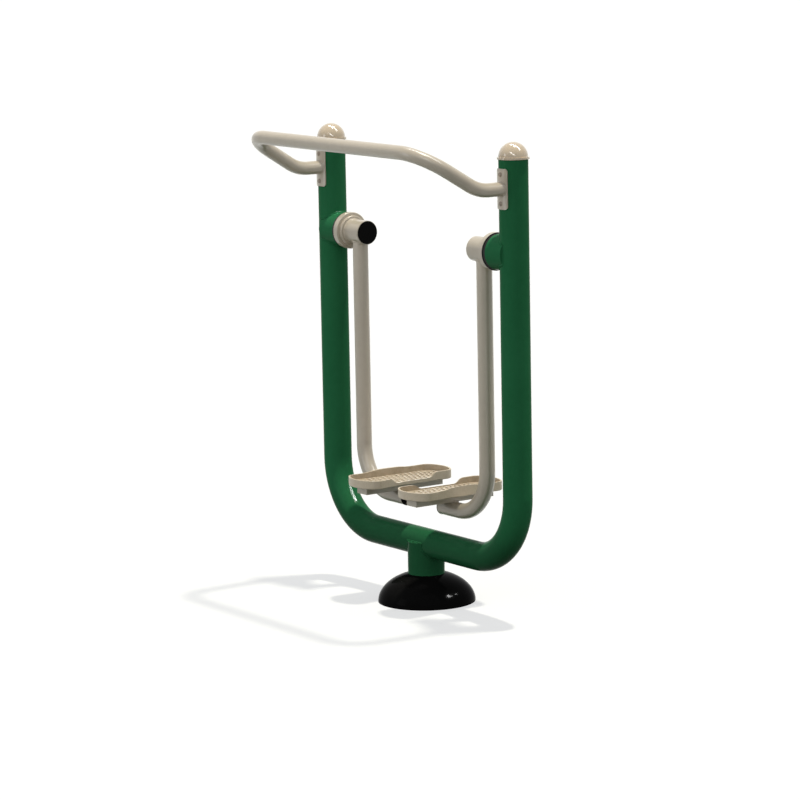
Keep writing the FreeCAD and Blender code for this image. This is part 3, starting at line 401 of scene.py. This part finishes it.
def soften(name):
    """Rounds the sharp edges that show, and keeps the flat faces flat."""
    item = NODES[name]
    plain = item.modifiers.new("merge_flats", "DECIMATE")
    plain.decimate_type = "DISSOLVE"
    plain.angle_limit = FLAT_ANGLE
    rounding = item.modifiers.new("round_edges", "BEVEL")
    rounding.width = EDGE_WIDTH
    rounding.segments = EDGE_SEGMENTS
    rounding.limit_method = "ANGLE"
    rounding.angle_limit = EDGE_ANGLE
    rounding.use_clamp_overlap = True
    rounding.harden_normals = False
    rounding.miter_outer = "MITER_ARC"
    shading = item.modifiers.new("flat_shading", "WEIGHTED_NORMAL")
    shading.mode = "FACE_AREA"
    shading.weight = WEIGHT_BY_AREA
    shading.keep_sharp = False


for side in SIDES:
    soften(f"{side}_bar_plate")
    soften(f"{side}_pedal_bracket")


# ---- weld beads, plugs and rubber rings ----
WELD_PITCH = 4.2 * MM
RIPPLE_STEPS = 5
WELD_CORNERS = 10
FEWEST_STEPS = 8
# A bead's thickness: its least share, what a ripple adds, and how much it wanders along the seam.
BEAD_LEAST = 0.86
BEAD_RIPPLE = 0.20
BEAD_WANDER = 0.13
WANDER_SCALE = 60
WANDER_PHASES = 10
# An open bead starts at this share of its thickness and swells over this many steps.
END_SHARE = 0.35
END_STEPS = 4
NEARLY_UPRIGHT = 0.9
SEAM_POINTS = 180
TURNED_SIDES = 72


def resample(points, step, closed):
    """Points at an even step along the path."""
    path = list(points) + ([points[0]] if closed else [])
    lengths = [0.0]
    for before, after in zip(path, path[1:]):
        lengths.append(lengths[-1] + (after - before).length)
    count = max(FEWEST_STEPS, round(lengths[-1] / step))
    made = []
    index = 0
    for number in range(count if closed else count + 1):
        target = lengths[-1] * number / count
        while index < len(lengths) - 2 and lengths[index + 1] < target:
            index += 1
        span = lengths[index + 1] - lengths[index]
        share = (target - lengths[index]) / span if span else 0.0
        made.append(path[index].lerp(path[index + 1], share))
    return made


def mesh_piece(name, body, slot_name, verts, faces):
    """A smooth-shaded piece that rides on a body."""
    data = bpy.data.meshes.new(name)
    data.from_pydata([tuple(v) for v in verts], [], faces)
    data.validate()
    for face in data.polygons:
        face.use_smooth = True
    item = bpy.data.objects.new(name, data)
    bpy.context.scene.collection.objects.link(item)
    data.materials.append(PAINTS[slot_name])
    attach(item, body)


def rounds(count):
    """Even turns of one circle."""
    return [math.tau * number / count for number in range(count)]


def bead(name, body, slot_name, points, radius, closed=True):
    """A weld seam of overlapping ripples where two pieces meet. An open one tapers at its ends."""
    path = resample(points, WELD_PITCH / RIPPLE_STEPS, closed)
    count = len(path)
    verts = []
    phase = random.Random(name).random() * WANDER_PHASES
    for number, centre in enumerate(path):
        ahead = path[(number + 1) % count] if closed or number + 1 < count else path[number]
        behind = path[number - 1] if closed or number else path[number]
        tangent = (ahead - behind).normalized()
        helper = Vector((0, 0, 1)) if abs(tangent.z) < NEARLY_UPRIGHT else Vector((0, 1, 0))
        across = tangent.cross(helper).normalized()
        upward = across.cross(tangent).normalized()
        ripple = (number % RIPPLE_STEPS) / RIPPLE_STEPS
        wander = noise.noise(centre * WANDER_SCALE + Vector((phase, 0, 0)))
        swell = BEAD_RIPPLE * math.sin(math.pi * ripple)
        size = radius * (BEAD_LEAST + swell + BEAD_WANDER * wander)
        if not closed:
            size *= min(1.0, END_SHARE + min(number, count - 1 - number) / END_STEPS)
        for turn in rounds(WELD_CORNERS):
            verts.append(centre + (across * math.cos(turn) + upward * math.sin(turn)) * size)
    faces = []
    for number in range(count if closed else count - 1):
        here = number * WELD_CORNERS
        there = (number + 1) % count * WELD_CORNERS
        for corner in range(WELD_CORNERS):
            after = (corner + 1) % WELD_CORNERS
            faces.append((here + corner, there + corner, there + after, here + after))
    if not closed:
        last = (count - 1) * WELD_CORNERS
        faces.append(tuple(range(WELD_CORNERS)))
        faces.append(tuple(last + corner for corner in reversed(range(WELD_CORNERS))))
    mesh_piece(name, body, slot_name, verts, faces)


def lathe(name, body, slot_name, centre, sign, profile):
    """A profile of (radius, reach) turned about a line along X; reach counts from the centre."""
    verts = []
    rings = []
    for radius, reach in profile:
        if radius == 0:
            rings.append([len(verts)])
            verts.append(centre + Vector((sign * reach, 0, 0)))
        else:
            rings.append([len(verts) + number for number in range(TURNED_SIDES)])
            for turn in rounds(TURNED_SIDES):
                y, z = radius * math.cos(turn), radius * math.sin(turn)
                verts.append(centre + Vector((sign * reach, y, z)))
    faces = []
    pairs = list(zip(rings, rings[1:]))
    if profile[0][0] and profile[-1][0]:
        pairs.append((rings[-1], rings[0]))
    for inner, outer in pairs:
        for number in range(TURNED_SIDES):
            after = (number + 1) % TURNED_SIDES
            corners_of_face = [inner[number % len(inner)], inner[after % len(inner)],
                               outer[after % len(outer)], outer[number % len(outer)]]
            face = tuple(dict.fromkeys(corners_of_face))
            faces.append(face if sign > 0 else face[::-1])
    mesh_piece(name, body, slot_name, verts, faces)


UNDERSIDE_STEPS = 40
FLANK_STEPS = 5
LID_STEPS = 20
SADDLE_STEPS = 60
SIDE_STEPS = 12
WALL_STEPS = 24
# Shares of the tube's radius just short of its edge, where the seams turn.
COLUMN_EDGE = 0.9999
STUB_EDGE = 0.99999


def column_seam():
    """Where the column meets the low run: under the tube at both ends, along the lid at both sides."""
    lift = column_top - run_height
    side_y = math.sqrt(tube_radius ** 2 - lift ** 2)
    reach = math.sqrt(column_radius ** 2 - side_y ** 2)
    points = []

    def flank(x_side, y_side, steps):
        """Along the column's edge between the tube's middle height and the lid."""
        for number in steps:
            z = run_height + lift * number / FLANK_STEPS
            y = y_side * math.sqrt(tube_radius ** 2 - (z - run_height) ** 2)
            points.append(Vector((x_side * math.sqrt(column_radius ** 2 - y * y), y, z)))

    for end in (1, -1):
        for number in range(UNDERSIDE_STEPS + 1):
            share = 2 * number / UNDERSIDE_STEPS - 1
            y = end * share * tube_radius * COLUMN_EDGE
            x = end * math.sqrt(column_radius ** 2 - y * y)
            points.append(Vector((x, y, run_height - math.sqrt(tube_radius ** 2 - y * y))))
        flank(end, end, range(1, FLANK_STEPS + 1))
        for number in range(1, LID_STEPS):
            x = end * reach * (1 - 2 * number / LID_STEPS)
            points.append(Vector((x, end * side_y, column_top)))
        flank(-end, end, range(FLANK_STEPS, 0, -1))
    return points


def stub_seam(sign):
    """Where the hub's fixed pipe meets the upright: two saddles and two short straight sides."""
    points = []
    side_z = math.sqrt(stub_radius ** 2 - tube_radius ** 2)
    for level in (1, -1):
        for number in range(SADDLE_STEPS + 1):
            y = level * tube_radius * (1 - 2 * number / SADDLE_STEPS) * STUB_EDGE
            x = upright_x - math.sqrt(tube_radius ** 2 - y * y)
            z = pivot_height + level * math.sqrt(stub_radius ** 2 - y * y)
            points.append(Vector((sign * x, y, z)))
        for number in range(1, SIDE_STEPS):
            z = pivot_height + level * side_z * (1 - 2 * number / SIDE_STEPS)
            points.append(Vector((sign * upright_x, -level * tube_radius, z)))
    return points


def arm_seam(sign):
    """Where the arm's tube meets the underside of the hub."""
    points = []
    for turn in rounds(SEAM_POINTS):
        y = arm_radius * math.sin(turn)
        x = arm_x + arm_radius * math.cos(turn)
        points.append(Vector((sign * x, y, pivot_height - math.sqrt(hub_radius ** 2 - y * y))))
    return points


def bar_seam(sign):
    """Where the handlebar meets its curved plate."""
    points = []
    for turn in rounds(SEAM_POINTS):
        across = BAR_RADIUS * math.cos(turn)
        z = bar_height + BAR_RADIUS * math.sin(turn)
        y = -math.sqrt(plate_outside ** 2 - across ** 2)
        points.append(Vector((sign * (upright_x + across), y, z)))
    return points


def channel_seam(sign, wall):
    """Where one wall of the pedal's channel crosses the arm's run."""
    points = []
    for number in range(WALL_STEPS + 1):
        y = WELD_HALF * (2 * number / WALL_STEPS - 1)
        tube_top = arm_run_height + math.sqrt(arm_radius ** 2 - y * y)
        points.append(Vector((sign * wall, y, (bracket_low.z + min(tube_top, bracket_low.z)) / 2)))
    return points


# Profiles in millimetres, as (radius, reach).
# Black plug on the end of an arm's run: a flange over the tube's edge and a low dome.
PLUG_PROFILE = [(0, -1.4), (21.0, -1.4), (24.3, -1.3), (24.6, -0.8), (24.6, 0.7), (24.3, 1.6),
                (23.4, 2.4), (21.8, 3.0), (18.5, 3.7), (14.0, 4.4), (8.5, 5.0), (3.5, 5.3),
                (0, 5.4)]
# Black rubber ring on the back of the hub's flange, in the gap in front of the fixed pipe: painted
# shade, dark where that gap lies in shadow.
GAP_SHADE_PROFILE = [(52.6, -0.2), (52.6, 1.9), (53.2, 2.3), (56.2, 2.3), (56.8, 1.9), (57.1, 1.2),
                  (57.1, -0.2)]
# Black rubber collar on the fixed pipe's front edge: painted shade, which widens the gap's dark band.
EDGE_SHADE_PROFILE = [(50.6, 2.75), (53.6, 2.75), (54.3, 3.2), (54.5, 4.0), (54.5, 10.6), (54.1, 11.2),
                (53.0, 11.2), (50.6, 4.0)]
# Half the length of the weld between a channel's wall and the arm.
WELD_HALF = 13.5 * MM


def scaled(profile):
    return [(radius * MM, reach * MM) for radius, reach in profile]


for sign, side in zip((-1, 1), SIDES):
    lathe(f"{side}_arm_end_plug", f"{side}_arm", "black_matte_plastic",
          Vector((sign * arm_low.x, 0, arm_run_height)), -sign, scaled(PLUG_PROFILE))
    # Two black rings in the gap between the hub and the fixed pipe: painted shade.
    lathe(f"{side}_hub_shield", f"{side}_arm", "seal_rubber",
          Vector((sign * flange_back, 0, pivot_height)), sign, scaled(GAP_SHADE_PROFILE))
    lathe(f"{side}_stub_trim", "frame", "seal_rubber",
          Vector((sign * flange_back, 0, pivot_height)), sign, scaled(EDGE_SHADE_PROFILE))
    for wall, end in ((bracket_low.x, "inner"), (bracket_high.x, "outer")):
        bead(f"{side}_channel_weld_{end}", f"{side}_arm", "beige_paint", channel_seam(sign, wall),
             2.7 * MM, closed=False)

bead("column_weld", "frame", "green_paint", column_seam(), 3.4 * MM)
for sign, side in zip((-1, 1), SIDES):
    bead(f"{side}_stub_weld", "frame", "green_paint", stub_seam(sign), 3.0 * MM)
    bead(f"{side}_arm_weld", f"{side}_arm", "beige_paint", arm_seam(sign), 2.8 * MM)
    bead(f"{side}_bar_weld", "frame", "beige_paint", bar_seam(sign), 2.4 * MM)


# ---- floor, light and camera ----
FLOOR_HALF = 60.0
FLOOR_DROP = 0.6 * MM
FLOOR_ROUGHNESS = 0.85
# What the floor throws back at the object, what the camera sees of it, and its glow there.
FLOOR_BOUNCE = (0.06, 0.07, 0.05, 1.0)
FLOOR_SEEN = (0.93, 0.97, 1.0, 1.0)
FLOOR_GLOW = 0.62
WHITE = (1.0, 1.0, 1.0, 1.0)
# The sky's light at its horizon and overhead, and its level where it is seen.
HORIZON_LIGHT = 0.83
ZENITH_LIGHT = 0.20
WORLD_SEEN = 1.0


def seen_rays(tree):
    """1 for rays that see a surface, directly, in a gloss or through a clear piece, else 0."""
    rays = tree.nodes.new("ShaderNodeLightPath")
    seen = rays.outputs["Is Camera Ray"]
    for other in ("Is Glossy Ray", "Is Transmission Ray"):
        either = tree.nodes.new("ShaderNodeMath")
        either.operation = "MAXIMUM"
        tree.links.new(seen, either.inputs[0])
        tree.links.new(rays.outputs[other], either.inputs[1])
        seen = either.outputs[0]
    return seen


def make_floor():
    """A pale floor that keeps the object's shadow."""
    size = FLOOR_HALF
    data = bpy.data.meshes.new("floor")
    data.from_pydata([(-size, -size, 0), (size, -size, 0), (size, size, 0), (-size, size, 0)], [],
                     [(0, 1, 2, 3)])
    item = bpy.data.objects.new("floor", data)
    item.location.z = -FLOOR_DROP
    bpy.context.scene.collection.objects.link(item)
    material = bpy.data.materials.new("floor_pale")
    material.use_nodes = True
    tree = material.node_tree
    shader = tree.nodes["Principled BSDF"]
    shader.inputs["Roughness"].default_value = FLOOR_ROUGHNESS
    shader.inputs["Specular IOR Level"].default_value = 0.0
    glow = tree.nodes.new("ShaderNodeEmission")
    glow.inputs["Color"].default_value = WHITE
    glow.inputs["Strength"].default_value = 1.0
    seen = seen_rays(tree)
    shade = tree.nodes.new("ShaderNodeMix")
    shade.data_type = "RGBA"
    shade.inputs[MIX_FIRST].default_value = FLOOR_BOUNCE
    shade.inputs[MIX_SECOND].default_value = FLOOR_SEEN
    tree.links.new(seen, shade.inputs["Factor"])
    tree.links.new(shade.outputs[MIX_RESULT], shader.inputs["Base Color"])
    share = tree.nodes.new("ShaderNodeMath")
    share.operation = "MULTIPLY"
    share.inputs[1].default_value = FLOOR_GLOW
    tree.links.new(seen, share.inputs[0])
    mixer = tree.nodes.new("ShaderNodeMixShader")
    tree.links.new(share.outputs[0], mixer.inputs[0])
    tree.links.new(shader.outputs[0], mixer.inputs[1])
    tree.links.new(glow.outputs[0], mixer.inputs[2])
    tree.links.new(mixer.outputs[0], tree.nodes["Material Output"].inputs["Surface"])
    data.materials.append(material)


def make_world():
    """White where it is seen; as a light, a bright horizon and a dimmer top."""
    world = bpy.data.worlds.new("studio")
    bpy.context.scene.world = world
    world.use_nodes = True
    tree = world.node_tree
    backing = tree.nodes["Background"]
    backing.inputs["Color"].default_value = WHITE
    level = tree.nodes.new("ShaderNodeMapRange")
    tree.links.new(seen_rays(tree), level.inputs["Value"])
    direction = tree.nodes.new("ShaderNodeTexCoord")
    height = tree.nodes.new("ShaderNodeSeparateXYZ")
    tree.links.new(direction.outputs["Generated"], height.inputs[0])
    fade = tree.nodes.new("ShaderNodeMapRange")
    tree.links.new(height.outputs["Z"], fade.inputs["Value"])
    fade.inputs["To Min"].default_value = HORIZON_LIGHT
    fade.inputs["To Max"].default_value = ZENITH_LIGHT
    tree.links.new(fade.outputs["Result"], level.inputs["To Min"])
    level.inputs["To Max"].default_value = WORLD_SEEN
    tree.links.new(level.outputs["Result"], backing.inputs["Strength"])


def lamp(name, kind, place, target, power, size=None, angle=None, colour=(1.0, 1.0, 1.0)):
    """A lamp that looks at the target: an area lamp has a size, a sun an angle in degrees."""
    place = Vector(place)
    data = bpy.data.lights.new(name, kind)
    data.energy = power
    data.color = colour
    if size:
        data.shape = "RECTANGLE"
        data.size, data.size_y = size
    if angle:
        data.angle = math.radians(angle)
    item = bpy.data.objects.new(name, data)
    item.location = place
    item.rotation_mode = "QUATERNION"
    item.rotation_quaternion = (Vector(target) - place).to_track_quat("-Z", "Y")
    bpy.context.scene.collection.objects.link(item)


make_floor()
make_world()

# The sun stands this way, a little to the right and behind.
KEY = Vector((0.07, 0.157, 1.0)).normalized()
KEY_COLOUR = (1.0, 0.94, 0.78)
KEY_REACH = 5
CENTRE = Vector((0, 0, 0.8))
lamp("key_overhead", "SUN", CENTRE + KEY * KEY_REACH, CENTRE, power=2.5, angle=3.0,
     colour=KEY_COLOUR)

# The frame's top, from which the far lamps' directions count, and how far away they stand.
CENTRE_TOP = Vector((0, 0, 1.45))
STRIP_REACH = 20.0


def strip(name, ends, width, brightness, receivers):
    """A far lamp between two directions, seen only as a highlight on its receivers."""
    far = [CENTRE_TOP + Vector(end).normalized() * STRIP_REACH for end in ends]
    place = (far[0] + far[1]) / 2
    along = far[1] - far[0]
    length = along.length
    along.normalize()
    facing = (place - CENTRE_TOP).normalized()
    across = facing.cross(along)
    facing = along.cross(across)
    data = bpy.data.lights.new(name, "AREA")
    data.shape = "RECTANGLE"
    data.size, data.size_y = length, width
    data.energy = brightness * math.pi * length * width
    item = bpy.data.objects.new(name, data)
    turn = Matrix((along, across, facing)).transposed().to_4x4()
    item.matrix_world = Matrix.Translation(place) @ turn
    item.visible_diffuse = False
    item.visible_camera = False
    item.light_linking.receiver_collection = receivers
    bpy.context.scene.collection.objects.link(item)


def slot_group(name, materials):
    """The pieces painted with these materials, whichever body they ride on."""
    group = bpy.data.collections.new(name)
    for item in bpy.data.objects:
        if item.type == "MESH" and item.data.materials and item.data.materials[0] in materials:
            group.objects.link(item)
    return group


green_pieces = slot_group("green_pieces", (green,))
black_pieces = slot_group("black_pieces", (black_gloss,))
pale_pieces = slot_group("pale_gloss_pieces", (beige, beige_cap, cast, screw))
# The two ends of each highlight lamp, as directions.
OVERHEAD_GREEN = ((0.06, 0.27, 0.95), (0.60, 0.44, 0.67))
OVERHEAD = ((-0.49, 0.08, 0.86), (0.60, 0.44, 0.67))
BESIDE = ((0.34, -0.70, 0.64), (0.89, -0.36, 0.25))
BEHIND = ((0.56, 0.39, 0.73), (0.62, 0.49, 0.61))
FAR_BEHIND = ((0.36, 0.73, 0.59), (0.42, 0.68, 0.60))
strip("strip_overhead_green", OVERHEAD_GREEN, width=5.6, brightness=620, receivers=green_pieces)
strip("strip_overhead_pale", OVERHEAD, width=2.2, brightness=16, receivers=pale_pieces)
strip("strip_side_pale", BESIDE, width=1.4, brightness=10, receivers=pale_pieces)
strip("spot_back", BEHIND, width=3.4, brightness=480, receivers=black_pieces)
strip("spot_far_back", FAR_BEHIND, width=1.2, brightness=210, receivers=black_pieces)
lamp("softbox_front", "AREA", (-0.8, -4.2, 1.8), (0, 0, 0.9), power=26, size=(1.6, 2.4))

# The photograph's camera: its direction, tilt, lens, distance and the point it looks at.
AZIMUTH = math.radians(55.05)
PITCH = math.radians(9.23)
ROLL = math.radians(-1.08)
FOCAL_PIXELS = 3545.0
PICTURE = 800.0
SENSOR = 36.0
SIGHT = 200.0
DISTANCE = 10.91
SHIFT_RIGHT = -0.072
TARGET_HEIGHT = 0.631


def make_camera():
    """The camera of the photograph, looking at a point over the frame's middle."""
    back = Vector((math.sin(AZIMUTH) * math.cos(PITCH), -math.cos(AZIMUTH) * math.cos(PITCH),
                   math.sin(PITCH)))
    level = Vector((math.cos(AZIMUTH), math.sin(AZIMUTH), 0))
    up = back.cross(level)
    across = level * math.cos(ROLL) + up * math.sin(ROLL)
    upward = up * math.cos(ROLL) - level * math.sin(ROLL)
    target = level * SHIFT_RIGHT + Vector((0, 0, TARGET_HEIGHT))
    data = bpy.data.cameras.new("photo_camera")
    data.sensor_width = SENSOR
    data.lens = FOCAL_PIXELS / PICTURE * data.sensor_width
    data.clip_end = SIGHT
    item = bpy.data.objects.new("photo_camera", data)
    turn = Matrix((across, upward, back)).transposed().to_4x4()
    item.matrix_world = Matrix.Translation(target + back * DISTANCE) @ turn
    bpy.context.scene.collection.objects.link(item)
    bpy.context.scene.camera = item


make_camera()
bpy.context.scene.view_settings.view_transform = "Standard"
